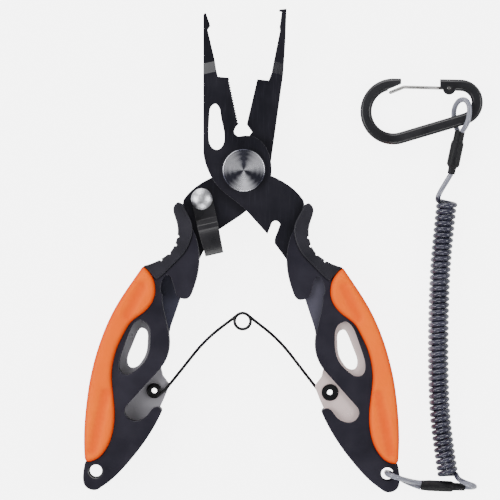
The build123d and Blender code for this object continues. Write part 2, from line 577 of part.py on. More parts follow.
# ---------------------------------------------------------------- the carabiner
TILT = 3.66  # its small end lies on the cord's loop
CARABINER_X = 30.6
BAR = 2.4
BIG_ARC = (8.7, 36.6)
BIG_OUT, BIG_IN = 8.7, 5.7
SMALL_ARC = (26.2, 39.1)
SMALL_OUT, SMALL_IN = 6.0, 3.0
GATE_HINGE = (23.3, 42.8)
GATE_CHEEK = 0.3  # the bar's wall on either side of the gate's slot
GATE_WIRE = 0.84
GATE_RUN = [(22.7, 42.8), (11.4, 43.05), (7.9, 41.6)]
GATE_LOW, GATE_HIGH = 0.75, 1.65  # the two runs of the gate's wire above the bar's back
carabiner_plane = Plane(origin=(CARABINER_X, 0, 0), x_dir=(cos(radians(TILT)), 0, sin(radians(TILT))),
                        z_dir=(-sin(radians(TILT)), 0, cos(radians(TILT))))

with BuildPart() as carabiner_body:
    with BuildSketch(carabiner_plane):
        with Locations(BIG_ARC):
            Circle(BIG_OUT)
        with Locations(SMALL_ARC):
            Circle(SMALL_OUT)
        make_hull()
    extrude(amount=BAR)
    with BuildSketch(carabiner_plane):
        with Locations(BIG_ARC):
            Circle(BIG_IN)
        with Locations(SMALL_ARC):
            Circle(SMALL_IN)
        make_hull()
    extrude(amount=BAR, mode=Mode.SUBTRACT)
    bar_faces = carabiner_body.faces().sort_by(Axis(carabiner_plane.origin, carabiner_plane.z_dir))
    chamfer(bar_faces[0].edges() + bar_faces[-1].edges(), 0.6)
    with BuildSketch(carabiner_plane):
        with BuildLine():
            Polyline((10.7, 48), (10.7, 43.9), (7.2, 42.4), (7.2, 38), (20.9, 38), (20.9, 48), close=True)
        make_face()
    extrude(amount=BAR, mode=Mode.SUBTRACT)
    with BuildSketch(carabiner_plane):
        with Locations(GATE_HINGE):
            Circle(1.7)
    extrude(amount=BAR)
    with BuildSketch(carabiner_plane.offset(GATE_CHEEK)):
        with Locations(GATE_HINGE):
            Circle(1.3)
        with BuildLine():
            Polyline((20.5, 43.9), (23.3, 44.1), (24.1, 42.0), (22.7, 40.4), (20.5, 40.4), close=True)
        make_face()
    extrude(amount=BAR - 2 * GATE_CHEEK, mode=Mode.SUBTRACT)
    with BuildSketch(carabiner_plane):
        with Locations(GATE_HINGE):
            Circle(0.42)
    extrude(amount=BAR, mode=Mode.SUBTRACT)
finish(carabiner_body, "carabiner_body")

with BuildPart() as carabiner_pin:
    with BuildSketch(carabiner_plane.offset(0.02)):
        with Locations(GATE_HINGE):
            Circle(0.4)
    extrude(amount=BAR - 0.04)
finish(carabiner_pin, "carabiner_gate_pin")

with BuildPart() as carabiner_gate:
    with BuildSketch(carabiner_plane.offset(0.46)):
        with Locations(GATE_HINGE):
            Circle(0.95)
    extrude(amount=BAR - 0.92)
    low_run = [(x, y, GATE_LOW) for x, y in GATE_RUN]
    high_run = [(x, y, GATE_HIGH) for x, y in reversed(GATE_RUN)]
    with BuildLine(carabiner_plane):
        wire = FilletPolyline(*low_run, *high_run, radius=[0.8, 0.44, 0.44, 0.8])
    with BuildSketch(Plane(origin=wire @ 0, z_dir=wire % 0)):
        Circle(GATE_WIRE / 2)
    sweep()
    with BuildSketch(carabiner_plane):
        with Locations(GATE_HINGE):
            Circle(0.44)
    extrude(amount=BAR, mode=Mode.SUBTRACT)
finish(carabiner_gate, "carabiner_gate")
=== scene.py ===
# %% [markdown]
# # Fishing pliers with a coiled lanyard
# The pliers lie open on a pale table, jaws up the table, seen from straight above. Two flat steel
# levers cross at a large turned pivot cap. Hard charcoal scales, ribbed thumb rests and orange grips
# cover the handles, a thin wire spring holds them apart, and a coiled cord ends in a carabiner.
# Everything is in metres, in the same frame as the mechanical model that this script loads first.

# %% Load the frame
import json
from math import cos, pi, radians, sin

import bpy
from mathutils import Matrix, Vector


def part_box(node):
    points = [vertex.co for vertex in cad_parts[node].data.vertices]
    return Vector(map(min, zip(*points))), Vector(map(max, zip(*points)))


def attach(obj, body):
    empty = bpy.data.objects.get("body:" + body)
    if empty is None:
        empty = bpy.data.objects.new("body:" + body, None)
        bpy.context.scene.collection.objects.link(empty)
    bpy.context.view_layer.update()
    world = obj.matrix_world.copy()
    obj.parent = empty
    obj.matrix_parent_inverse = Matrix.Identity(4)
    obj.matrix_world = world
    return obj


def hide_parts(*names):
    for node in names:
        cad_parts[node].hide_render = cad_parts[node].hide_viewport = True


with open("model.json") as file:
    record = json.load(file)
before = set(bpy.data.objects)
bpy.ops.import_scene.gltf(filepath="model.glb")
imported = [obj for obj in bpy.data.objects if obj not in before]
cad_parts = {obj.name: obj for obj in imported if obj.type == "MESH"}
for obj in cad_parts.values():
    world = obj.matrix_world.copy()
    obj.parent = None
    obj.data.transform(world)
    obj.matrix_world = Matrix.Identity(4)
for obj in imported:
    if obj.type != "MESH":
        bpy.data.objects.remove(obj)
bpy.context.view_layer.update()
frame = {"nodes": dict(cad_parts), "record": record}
MM = 0.001

# %% [markdown]
# Every operator works on what is selected, so each step first selects one object and nothing else.

# %% Select one object
def select_only(piece):
    """Makes one object the only selected and the active one."""
    bpy.ops.object.select_all(action="DESELECT")
    piece.select_set(True)
    bpy.context.view_layer.objects.active = piece


def mm(*numbers):
    """A vector in metres from millimetres."""
    return Vector(numbers) * MM


# %% [markdown]
# ## Camera, table and light
# A long lens from straight above keeps the handles parallel and the plates flat. The table is a wide
# pale sheet. Large soft lights stand to the sides and none hangs at the camera, so that flat dark
# steel stays dark and only bevels and round wire catch the light. The table glows strongly to the
# camera, which makes it white, and only faintly as a lamp, which keeps the undersides dark.

# %% Camera
VIEW_CENTRE = mm(1.8, -0.1, 5)
VIEW_WIDTH = 131 * MM
CAMERA_HEIGHT = 0.9
camera_data = bpy.data.cameras.new("studio_camera")
camera_data.sensor_width = 36
camera_data.lens = 36 * CAMERA_HEIGHT / VIEW_WIDTH
camera = bpy.data.objects.new("studio_camera", camera_data)
camera.location = VIEW_CENTRE + Vector((0, 0, CAMERA_HEIGHT))
camera.rotation_euler = (0, 0, radians(0.45))
bpy.context.scene.collection.objects.link(camera)
bpy.context.scene.camera = camera
print("lens", round(camera_data.lens), "mm")

# %% Table
TABLE_SEEN = 5.5  # how strongly the table glows to the camera
TABLE_AS_LAMP = 0.9  # and how strongly it lights the pliers
bpy.ops.object.select_all(action="DESELECT")
bpy.ops.mesh.primitive_plane_add(size=6, location=(0, 0, -0.0002))
table_top = bpy.context.object
table_top.name = "table_top"
table_paint = bpy.data.materials.new("table_paint")
table_paint.use_nodes = True
table_shader = table_paint.node_tree.nodes["Principled BSDF"]
table_shader.inputs["Base Color"].default_value = (0.5, 0.5, 0.5, 1)
table_shader.inputs["Roughness"].default_value = 0.9
table_shader.inputs["Specular IOR Level"].default_value = 0.0
table_shader.inputs["Emission Color"].default_value = (1, 1, 1, 1)
ray_kind = table_paint.node_tree.nodes.new("ShaderNodeLightPath")
glow = table_paint.node_tree.nodes.new("ShaderNodeMapRange")
glow.inputs["To Min"].default_value = TABLE_AS_LAMP
glow.inputs["To Max"].default_value = TABLE_SEEN
table_paint.node_tree.links.new(ray_kind.outputs["Is Camera Ray"], glow.inputs["Value"])
table_paint.node_tree.links.new(glow.outputs["Result"], table_shader.inputs["Emission Strength"])
table_top.data.materials.append(table_paint)

# %% Lights
def soft_light(name, place, size, power):
    """A square lamp at a place, turned to face the pliers."""
    lamp_data = bpy.data.lights.new(name, "AREA")
    lamp_data.shape = "SQUARE"
    lamp_data.size = size
    lamp_data.energy = power
    lamp = bpy.data.objects.new(name, lamp_data)
    lamp.location = place
    lamp.rotation_euler = (-Vector(place)).to_track_quat("-Z", "Y").to_euler()
    bpy.context.scene.collection.objects.link(lamp)


soft_light("head_light", (-0.3, 1.15, 0.6), 0.9, 15)
soft_light("left_light", (-0.85, -0.05, 0.7), 0.7, 11)
soft_light("right_light", (0.85, 0.05, 0.7), 0.5, 7)
soft_light("low_light", (0.1, -0.95, 0.6), 0.5, 6)
room = bpy.data.worlds.new("room")
room.use_nodes = True
room.node_tree.nodes["Background"].inputs["Color"].default_value = (1, 1, 1, 1)
room.node_tree.nodes["Background"].inputs["Strength"].default_value = 0.22
bpy.context.scene.world = room
print("lights placed")

# %% [markdown]
# ## The lanyard's cord
# A free cord comes before the hard pieces, because its length and its resting shape are facts of
# their own. The real cord is a thin dark core in a clear smoky coating. It is wound into a spring
# coil of about 47 turns, leaves it in a short tail at each end, runs into two shrink sleeves, and
# makes a small loop beyond each sleeve: one through the handle's hole, one through the carabiner.
# Each stretch could be a mesh tube, but a curve with a round bevel keeps the cord's thickness
# everywhere and follows a few given points.

# %% A cord from points
CORD_DIAMETER = 1.36 * MM


def cord_curve(name, points, sides=3, steps=6):
    """An open smooth curve with the cord's round section."""
    curve = bpy.data.curves.new(name, "CURVE")
    curve.dimensions = "3D"
    curve.bevel_depth = CORD_DIAMETER / 2
    curve.bevel_resolution = sides
    curve.use_fill_caps = True
    spline = curve.splines.new("NURBS")
    spline.points.add(len(points) - 1)
    for control, place in zip(spline.points, points):
        control.co = (*place, 1)
    spline.order_u = 3
    spline.use_endpoint_u = True
    spline.resolution_u = steps
    piece = bpy.data.objects.new(name, curve)
    bpy.context.scene.collection.objects.link(piece)
    return piece


def points_of(piece):
    """The points of a curve's middle line, with the bevel taken off."""
    line = piece.data.copy()
    line.bevel_depth = 0
    probe = bpy.data.objects.new("probe", line)
    bpy.context.scene.collection.objects.link(probe)
    mesh = bpy.data.meshes.new_from_object(probe.evaluated_get(bpy.context.evaluated_depsgraph_get()))
    places = [vertex.co.copy() for vertex in mesh.vertices]
    bpy.data.objects.remove(probe)
    bpy.data.meshes.remove(mesh)
    return places


def length_of(places):
    """The length along a row of points."""
    return sum((b - a).length for a, b in zip(places, places[1:]))


# %% Routes of the cord
LOWER_LOOP = [mm(47.2, -61.0, 2.1), mm(45.7, -60.8, 2.4), mm(43.7, -60.2, 5.4), mm(41.8, -59.5, 9.2),
              mm(39.8, -58.8, 10.6), mm(38.3, -58.4, 9.3), mm(38.05, -58.2, 6.4), mm(38.2, -58.3, 3.4),
              mm(38.1, -58.2, 1.5), mm(39.0, -58.5, 0.72), mm(41.6, -59.8, 0.75), mm(44.6, -61.4, 0.7),
              mm(47.2, -62.2, 1.0)]
LOWER_TAIL = [mm(58.8, -62.0, 1.5), mm(60.5, -62.1, 1.3), mm(61.5, -61.8, 2.9), mm(60.7, -61.3, 4.6),
              mm(58.6, -60.6, 5.0), mm(56.75, -59.7, 4.4)]
COIL_ROUTE = [mm(54.3, -59.0, 2.85), mm(52.3, -47.0, 2.85), mm(51.6, -36.0, 2.85),
              mm(51.4, -25.0, 2.85), mm(51.5, -13.0, 2.85), mm(51.9, -2.5, 2.85),
              mm(52.7, 6.0, 2.85), mm(53.4, 13.1, 2.85)]
UPPER_TAIL = [mm(50.9, 13.9, 4.0), mm(51.4, 15.3, 4.5), mm(52.7, 17.4, 2.9), mm(54.5, 20.3, 1.75)]
UPPER_LOOP = [mm(56.2, 31.6, 1.4), mm(55.6, 33.1, 0.72), mm(55.1, 35.6, 0.72), mm(55.2, 37.7, 1.6),
              mm(56.2, 39.6, 3.4), mm(57.9, 39.9, 4.9), mm(59.0, 38.3, 5.3), mm(59.0, 35.6, 5.2),
              mm(58.3, 33.0, 5.1), mm(57.3, 31.6, 3.4)]
print("route points", len(LOWER_LOOP) + len(LOWER_TAIL) + len(COIL_ROUTE) + len(UPPER_TAIL))

# %% [markdown]
# The coil's turns are worked out, because nobody places six hundred points by hand. A smooth line is
# laid through the coil's route first. Each point of the coil then steps round that line by a
# fourteenth of a turn, at the radius that leaves the turns just touching the table.

# %% Wind the coil
TURNS = 46.55
START_ANGLE = radians(8)
POINTS_PER_TURN = 14
TURN_RADIUS = 2.16 * MM
END_FLARE = 0.09  # the last turn opens by this share

axis_curve = cord_curve("coil_axis", COIL_ROUTE, steps=12)
axis_points = points_of(axis_curve)
bpy.data.objects.remove(axis_curve)
axis_length = length_of(axis_points)


def along_axis(share):
    """The place and direction at a share of the coil's axis."""
    wanted = share * axis_length
    for start, end in zip(axis_points, axis_points[1:]):
        run = end - start
        if wanted <= run.length:
            return start + run.normalized() * wanted, run.normalized()
        wanted -= run.length
    return axis_points[-1], run.normalized()


coil_points = []
count = int(TURNS * POINTS_PER_TURN)
for step in range(count + 1):
    place, direction = along_axis(step / count)
    sideways = direction.cross(Vector((0, 0, 1))).normalized()
    angle = START_ANGLE - 2 * pi * step / POINTS_PER_TURN
    flare = 1 + END_FLARE * max(0, 1 - (count - step) / POINTS_PER_TURN)
    radius = TURN_RADIUS * flare
    lift = Vector((0, 0, TURN_RADIUS * (flare - 1)))
    coil_points.append(place + lift + sideways * radius * cos(angle) + Vector((0, 0, radius * sin(angle))))
print("coil points", len(coil_points), "pitch mm", round(axis_length / TURNS / MM, 2))

# %% Make the three stretches
cord_main = cord_curve("cord_coil", LOWER_TAIL + coil_points + UPPER_TAIL, steps=2)
cord_lower = cord_curve("cord_lower_loop", LOWER_LOOP, steps=10)
cord_upper = cord_curve("cord_upper_loop", UPPER_LOOP, steps=10)
for stretch in (cord_main, cord_lower, cord_upper):
    print(stretch.name, round(length_of(points_of(stretch)), 4), "m")

# %% [markdown]
# The dark core that shows through the coating is the same line with a thinner section.

# %% Core in the cord
CORE_DIAMETER = 0.72 * MM


def core_of(stretch):
    """The thin dark core inside a stretch of cord."""
    core = stretch.copy()
    core.data = stretch.data.copy()
    core.name = core.data.name = stretch.name + "_core"
    core.data.bevel_depth = CORE_DIAMETER / 2
    core.data.bevel_resolution = 2
    bpy.context.scene.collection.objects.link(core)
    return core


cores = {stretch.name: core_of(stretch) for stretch in (cord_main, cord_lower, cord_upper)}
for core in cores.values():
    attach(core, "front_lever")
for stretch, nodes in ((cord_main, ("lanyard_coil", "lanyard_lower_tail", "lanyard_upper_tail")),
                       (cord_lower, ("lanyard_lower_loop",)), (cord_upper, ("lanyard_upper_loop",))):
    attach(stretch, "front_lever")
    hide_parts(*nodes)

# %% [markdown]
# ## Finishes
# Effects that several finishes share are node groups: they give masks and heights that change over
# the surface, and each material uses them with its own numbers. Steady values, such as how metallic a
# finish is, stay on the shader itself.

# %% Helpers for node groups
def effect_group(name, inputs, outputs):
    """An empty node group with named number inputs and outputs."""
    group = bpy.data.node_groups.new(name, "ShaderNodeTree")
    for label, value in inputs.items():
        socket = group.interface.new_socket(label, in_out="INPUT", socket_type="NodeSocketFloat")
        socket.default_value = value
    for label in outputs:
        group.interface.new_socket(label, in_out="OUTPUT", socket_type="NodeSocketFloat")
    return group, group.nodes.new("NodeGroupInput"), group.nodes.new("NodeGroupOutput")


def noise_in(tree, scale_from, detail, stretch=(1, 1, 1)):
    """Noise in the piece's own space, its scale taken from a socket or a number."""
    place = tree.nodes.new("ShaderNodeTexCoord")
    turn = tree.nodes.new("ShaderNodeMapping")
    turn.inputs["Scale"].default_value = stretch
    noise = tree.nodes.new("ShaderNodeTexNoise")
    noise.inputs["Detail"].default_value = detail
    tree.links.new(place.outputs["Object"], turn.inputs["Vector"])
    tree.links.new(turn.outputs["Vector"], noise.inputs["Vector"])
    if isinstance(scale_from, (int, float)):
        noise.inputs["Scale"].default_value = scale_from
    else:
        tree.links.new(scale_from, noise.inputs["Scale"])
    return noise.outputs["Fac"]


def remap(tree, value, low, high, new_low=0.0, new_high=1.0):
    """Stretches a value between two limits to a new range."""
    node = tree.nodes.new("ShaderNodeMapRange")
    for label, number in (("From Min", low), ("From Max", high), ("To Min", new_low), ("To Max", new_high)):
        if isinstance(number, (int, float)):
            node.inputs[label].default_value = number
        else:
            tree.links.new(number, node.inputs[label])
    tree.links.new(value, node.inputs["Value"])
    return node.outputs["Result"]


def combine(tree, operation, first, second):
    """One step of arithmetic on two sockets or numbers."""
    node = tree.nodes.new("ShaderNodeMath")
    node.operation = operation
    for socket, value in zip(node.inputs, (first, second)):
        if isinstance(value, (int, float)):
            socket.default_value = value
        else:
            tree.links.new(value, socket)
    return node.outputs["Value"]


# %% [markdown]
# ** Edge wear and highlight** is the bright line where a coating rubs off, and also a painted
# highlight where light would catch an edge. The Bevel node gives the direction that the surface would
# face if its edges were rounded, so near an edge it differs from the real one. Noise breaks the line up.
#
# **Surface grain** gives a fine height for bump and a slow blotch for colour and gloss.
#
# **Draw marks** are noise pulled out into long streaks, as grinding or drawing leaves them.

# %% Build the effect groups
# The edge line is partly wear and partly a painted highlight.
edge_wear, edge_mark_in, edge_mark_out = effect_group("edge_wear", {"Radius": 0.0002, "Breakup": 900.0}, ["Mask"])
rounded = edge_wear.nodes.new("ShaderNodeBevel")
rounded.samples = 6
edge_wear.links.new(edge_mark_in.outputs["Radius"], rounded.inputs["Radius"])
agreement = edge_wear.nodes.new("ShaderNodeVectorMath")
agreement.operation = "DOT_PRODUCT"
edge_wear.links.new(rounded.outputs["Normal"], agreement.inputs[0])
edge_wear.links.new(edge_wear.nodes.new("ShaderNodeNewGeometry").outputs["Normal"], agreement.inputs[1])
edge_line = remap(edge_wear, agreement.outputs["Value"], 0.985, 0.86)
breakup = remap(edge_wear, noise_in(edge_wear, edge_mark_in.outputs["Breakup"], 4.0), 0.35, 0.65, 0.2, 1.0)
edge_wear.links.new(combine(edge_wear, "MULTIPLY", edge_line, breakup), edge_mark_out.inputs["Mask"])

surface_grain, grain_in, grain_out = effect_group(
    "surface_grain", {"Fine": 5000.0, "Broad": 120.0}, ["Height", "Blotch"])
surface_grain.links.new(noise_in(surface_grain, grain_in.outputs["Fine"], 3.0), grain_out.inputs["Height"])
surface_grain.links.new(remap(surface_grain, noise_in(surface_grain, grain_in.outputs["Broad"], 4.0),
                              0.3, 0.7), grain_out.inputs["Blotch"])

draw_marks, marks_in, marks_out = effect_group("draw_marks", {"Fine": 400.0}, ["Streak"])
draw_marks.links.new(noise_in(draw_marks, marks_in.outputs["Fine"], 5.0, (12, 0.6, 1)),
                     marks_out.inputs["Streak"])
print("effect groups", [group.name for group in (edge_wear, surface_grain, draw_marks)])

# %% A finish built from the effects
def place_group(tree, group, **values):
    """Puts a group in a material with its own values."""
    node = tree.nodes.new("ShaderNodeGroup")
    node.node_tree = group
    for label, value in values.items():
        node.inputs[label].default_value = value
    return node.outputs


def blend_colours(tree, mask, first, second):
    """A colour that goes from the first to the second with a mask."""
    node = tree.nodes.new("ShaderNodeMix")
    node.data_type = "RGBA"
    tree.links.new(mask, node.inputs["Factor"])
    colour_sockets = [socket for socket in node.inputs if socket.type == "RGBA"]
    for socket, colour in zip(colour_sockets, (first, second)):
        if isinstance(colour, tuple):
            socket.default_value = (*colour, 1)
        else:
            tree.links.new(colour, socket)
    return [socket for socket in node.outputs if socket.type == "RGBA"][0]


def finish_of(name, dark, light, gloss, grain, bump, steady):
    """A material: two tones blended by blotches, gloss that varies, and a grain that is felt."""
    material = bpy.data.materials.new(name)
    material.use_nodes = True
    tree = material.node_tree
    shader = tree.nodes["Principled BSDF"]
    for label, value in steady.items():
        shader.inputs[label].default_value = value
    effect = place_group(tree, surface_grain, Fine=grain[0], Broad=grain[1])
    tree.links.new(blend_colours(tree, effect["Blotch"], dark, light), shader.inputs["Base Color"])
    tree.links.new(remap(tree, effect["Blotch"], 0.0, 1.0, *gloss), shader.inputs["Roughness"])
    relief = tree.nodes.new("ShaderNodeBump")
    relief.inputs["Distance"].default_value = bump * MM
    relief.inputs["Strength"].default_value = 1.0
    tree.links.new(effect["Height"], relief.inputs["Height"])
    tree.links.new(relief.outputs["Normal"], shader.inputs["Normal"])
    return material


def add_wear_and_highlight(material, colour, radius):
    """Lets a brighter colour show along the edges of a material: partly wear, partly a painted highlight."""
    tree = material.node_tree
    shader = tree.nodes["Principled BSDF"]
    under = shader.inputs["Base Color"].links[0].from_socket
    # Bright edges: wear, and a painted highlight along them.
    wear_and_highlight = place_group(tree, edge_wear, Radius=radius * MM)["Mask"]
    tree.links.new(blend_colours(tree, wear_and_highlight, under, colour), shader.inputs["Base Color"])


# %% [markdown]
# ** Black-oxide steel** covers both levers: nearly black with a blue tinge, satin, with rubbed edges
# that also carry a painted highlight. Round the spring's rivets and the handles' windows the plates
# were left bare, so round masks there turn them to metal, whose tone is painted reflection: light and
# pinkish on the front lever, grey on the back. Under the thumb rests one more mask paints a bluer, lighter
# sheen.

# %% Black-oxide steel
def near(tree, place, radius, soft):
    """A mask that is one within a radius of a place and fades out, seen from above."""
    coordinate = tree.nodes.new("ShaderNodeTexCoord")
    flatten = tree.nodes.new("ShaderNodeVectorMath")
    flatten.operation = "MULTIPLY"
    flatten.inputs[1].default_value = (1, 1, 0)
    tree.links.new(coordinate.outputs["Object"], flatten.inputs[0])
    gap = tree.nodes.new("ShaderNodeVectorMath")
    gap.operation = "DISTANCE"
    gap.inputs[1].default_value = (place[0], place[1], 0)
    tree.links.new(flatten.outputs["Vector"], gap.inputs[0])
    return remap(tree, gap.outputs["Value"], radius + soft, radius, 0.0, 1.0)


def black_oxide(name, bare_places, bare_metal_and_reflection_colour, sheen_place, sheen_colour):
    """The levers' coating: rubbed and painted bright at the edges, with a painted sheen at one place, and
    bare round the others in a tone that is painted reflection.
    """
    material = finish_of(name, (0.003, 0.003, 0.006), (0.009, 0.008, 0.014), (0.26, 0.38), (3500, 90),
                         0.008, {"Metallic": 0.0, "Specular IOR Level": 0.4})
    tree = material.node_tree
    shader = tree.nodes["Principled BSDF"]
    streak = place_group(tree, draw_marks, Fine=300)["Streak"]
    under = shader.inputs["Base Color"].links[0].from_socket
    streaked = blend_colours(tree, remap(tree, streak, 0.55, 0.75, 0.0, 0.35), under, (0.03, 0.029, 0.04))
    # A bluer, lighter patch under the thumb rest: a painted sheen.
    painted_sheen = near(tree, sheen_place, 6.5 * MM, 3 * MM)
    with_painted_sheen = blend_colours(tree, painted_sheen, streaked, sheen_colour)
    bare_spots = [near(tree, place, radius, 0.4 * MM) for place, radius in bare_places]
    bare = combine(tree, "MAXIMUM", *bare_spots)
    tree.links.new(blend_colours(tree, bare, with_painted_sheen, bare_metal_and_reflection_colour), shader.inputs["Base Color"])
    tree.links.new(remap(tree, bare, 0.0, 1.0, 0.0, 0.35), shader.inputs["Metallic"])
    add_wear_and_highlight(material, (0.24, 0.235, 0.26), 0.14)
    return material


def handle_places(side):
    """The bare places of a handle: round the spring's rivet and round the window."""
    return [(mm(side * 25.5, -38.2, 0), 8.4 * MM), (mm(side * 27.9, -26.3, 0), 9.2 * MM)]


# The bare metal is painted light and pinkish on the front lever and grey on the back: painted reflection on
# the same steel. The sheen is likewise painted lighter on the front lever.
front_steel = black_oxide("front_steel", handle_places(1), (0.90, 0.72, 0.70),
                          mm(19.2, -13.5, 0), (0.065, 0.062, 0.086))
back_steel = black_oxide("back_steel", handle_places(-1), (0.34, 0.33, 0.36),
                         mm(-19.2, -13.5, 0), (0.042, 0.042, 0.066))

# %% [markdown]
# ** Moulded parts**: the scales are hard nylon with a fine spark-eroded grain, the thumb rests are a
# matt black rubber, the grips a satin orange one, painted deeper orange lower down as painted shade.

# %% Moulded finishes
MIDDLE_HEIGHT = 5 * MM  # the plane where the two levers meet
charcoal_nylon = finish_of("charcoal_nylon", (0.010, 0.009, 0.015), (0.019, 0.017, 0.027), (0.30, 0.42),
                           (6500, 110), 0.016, {"Specular IOR Level": 0.32})
add_wear_and_highlight(charcoal_nylon, (0.085, 0.08, 0.11), 0.22)
black_rubber = finish_of("black_rubber", (0.008, 0.0075, 0.012), (0.015, 0.0135, 0.021), (0.42, 0.56),
                         (7500, 140), 0.02, {"Specular IOR Level": 0.35})
add_wear_and_highlight(black_rubber, (0.06, 0.058, 0.075), 0.2)
orange_rubber = finish_of("orange_rubber", (0.96, 0.125, 0.0), (1.0, 0.155, 0.0), (0.42, 0.55),
                          (5200, 85), 0.012, {"Specular IOR Level": 0.04})
orange_tree = orange_rubber.node_tree
orange_shader = orange_tree.nodes["Principled BSDF"]
coordinate = orange_tree.nodes.new("ShaderNodeTexCoord")
split = orange_tree.nodes.new("ShaderNodeSeparateXYZ")
orange_tree.links.new(coordinate.outputs["Object"], split.inputs["Vector"])
above_middle = combine(orange_tree, "SUBTRACT", split.outputs["Z"], MIDDLE_HEIGHT)
from_middle = combine(orange_tree, "ABSOLUTE", above_middle, 0)
# Lower down, on the flanks and in the grooves, the orange is painted deeper: painted shade.
painted_flank_shade = remap(orange_tree, from_middle, 4.9 * MM, 3.9 * MM)
crown_colour = orange_shader.inputs["Base Color"].links[0].from_socket
orange_tree.links.new(blend_colours(orange_tree, painted_flank_shade, crown_colour, (0.66, 0.03, 0.0)),
                      orange_shader.inputs["Base Color"])

# %% [markdown]
# ** Small metal parts**: a lathe-turned cap, plain zinc, a polished dome, dark gunmetal sheet, bright
# wire, black wire and a black anodised carabiner. Turned rings spread light into bright and dark
# sectors, which soft lamps alone don't show well, so these highlights and shaded sectors are painted
# into the cap's colour, as a cosine of the angle round its middle, broken by fine rings.

# %% Metal finishes
turned_steel = finish_of("turned_steel", (0.46, 0.46, 0.49), (0.62, 0.62, 0.65), (0.22, 0.3), (2500, 260),
                         0.002, {"Metallic": 0.85, "Anisotropic": 0.8})
cap_tree = turned_steel.node_tree
cap_shader = cap_tree.nodes["Principled BSDF"]
cap_place = cap_tree.nodes.new("ShaderNodeTexCoord")
cap_middle = cap_tree.nodes.new("ShaderNodeMapping")
cap_middle.inputs["Location"].default_value = (0, -20.7 * MM, 0)
cap_tree.links.new(cap_place.outputs["Object"], cap_middle.inputs["Vector"])
cap_turn = cap_tree.nodes.new("ShaderNodeTexGradient")
cap_turn.gradient_type = "RADIAL"
cap_tree.links.new(cap_middle.outputs["Vector"], cap_turn.inputs["Vector"])
# The bright and dark sectors are painted highlight and painted shade in the cap's colour.
from_low_side = combine(cap_tree, "SUBTRACT", cap_turn.outputs["Fac"], 0.75)
sector_light_wave = combine(cap_tree, "COSINE", combine(cap_tree, "MULTIPLY", from_low_side, 6 * pi), 0)
cap_rings = cap_tree.nodes.new("ShaderNodeTexWave")
cap_rings.wave_type = "RINGS"
cap_rings.rings_direction = "SPHERICAL"
cap_rings.inputs["Scale"].default_value = 620
cap_rings.inputs["Distortion"].default_value = 0.0
cap_tree.links.new(cap_middle.outputs["Vector"], cap_rings.inputs["Vector"])
faint_rings = combine(cap_tree, "MULTIPLY", cap_rings.outputs["Fac"], 0.25)
painted_sector_light = remap(cap_tree, combine(cap_tree, "ADD", sector_light_wave, faint_rings), -0.7, 1.0)
cap_tree.links.new(blend_colours(cap_tree, painted_sector_light, (0.80, 0.80, 0.86), (0.05, 0.05, 0.07)),
                   cap_shader.inputs["Base Color"])
ring_way = cap_tree.nodes.new("ShaderNodeTangent")
ring_way.direction_type = "RADIAL"
ring_way.axis = "Z"
cap_tree.links.new(ring_way.outputs["Tangent"], cap_shader.inputs["Tangent"])
plain_steel = finish_of("plain_steel", (0.34, 0.34, 0.36), (0.48, 0.48, 0.5), (0.3, 0.45), (2600, 300),
                        0.006, {"Metallic": 1.0})
bright_chrome = finish_of("bright_chrome", (0.36, 0.36, 0.39), (0.86, 0.86, 0.89), (0.34, 0.46), (1300, 700),
                          0.04, {"Metallic": 1.0})
gunmetal_sheet = finish_of("gunmetal_sheet", (0.010, 0.010, 0.012), (0.022, 0.021, 0.024), (0.24, 0.38),
                           (5200, 160), 0.008, {"Metallic": 0.0, "Specular IOR Level": 0.35})
add_wear_and_highlight(gunmetal_sheet, (0.28, 0.275, 0.27), 0.14)
bright_wire = finish_of("bright_wire", (0.28, 0.28, 0.28), (0.42, 0.41, 0.40), (0.24, 0.36), (2600, 300),
                        0.004, {"Metallic": 1.0})
gloss_black_wire = finish_of("gloss_black_wire", (0.004, 0.004, 0.005), (0.010, 0.010, 0.012), (0.22, 0.34),
                             (2600, 300), 0.004, {"Specular IOR Level": 0.3})
black_anodised = finish_of("black_anodised", (0.006, 0.006, 0.008), (0.013, 0.013, 0.016), (0.28, 0.4),
                           (5200, 140), 0.006, {"Metallic": 0.0, "Specular IOR Level": 0.6})
add_wear_and_highlight(black_anodised, (0.075, 0.075, 0.085), 0.25)
crimp_aluminium = finish_of("crimp_aluminium", (0.5, 0.5, 0.5), (0.7, 0.7, 0.7), (0.3, 0.45), (2600, 300),
                            0.006, {"Metallic": 1.0})
heat_shrink = finish_of("heat_shrink", (0.006, 0.006, 0.007), (0.014, 0.014, 0.016), (0.42, 0.6),
                        (1500, 500), 0.05, {"Specular IOR Level": 0.18})

# %% [markdown]
# ** Cord**: a smoky clear coating that lets light through, over a nearly black core. The coil's turns
# lie close together and look dark, and the coating of the free stretches looks clear, so a mask that
# follows the place along the table paints shade on the coil alone, darker than the free stretches.

# %% Cord finishes
smoky_coating = finish_of("smoky_coating", (0.05, 0.05, 0.08), (0.10, 0.10, 0.15), (0.08, 0.16),
                          (1800, 200), 0.001, {"Transmission Weight": 0.5, "IOR": 1.47})
cord_tree = smoky_coating.node_tree
cord_place = cord_tree.nodes.new("ShaderNodeTexCoord")
cord_split = cord_tree.nodes.new("ShaderNodeSeparateXYZ")
cord_tree.links.new(cord_place.outputs["Object"], cord_split.inputs["Vector"])
right_of_loop = remap(cord_tree, cord_split.outputs["X"], 49 * MM, 50 * MM)
above_tail = remap(cord_tree, cord_split.outputs["Y"], -60.4 * MM, -59.9 * MM)
below_top = remap(cord_tree, cord_split.outputs["Y"], 14.6 * MM, 14.0 * MM)
between_tails = combine(cord_tree, "MULTIPLY", above_tail, below_top)
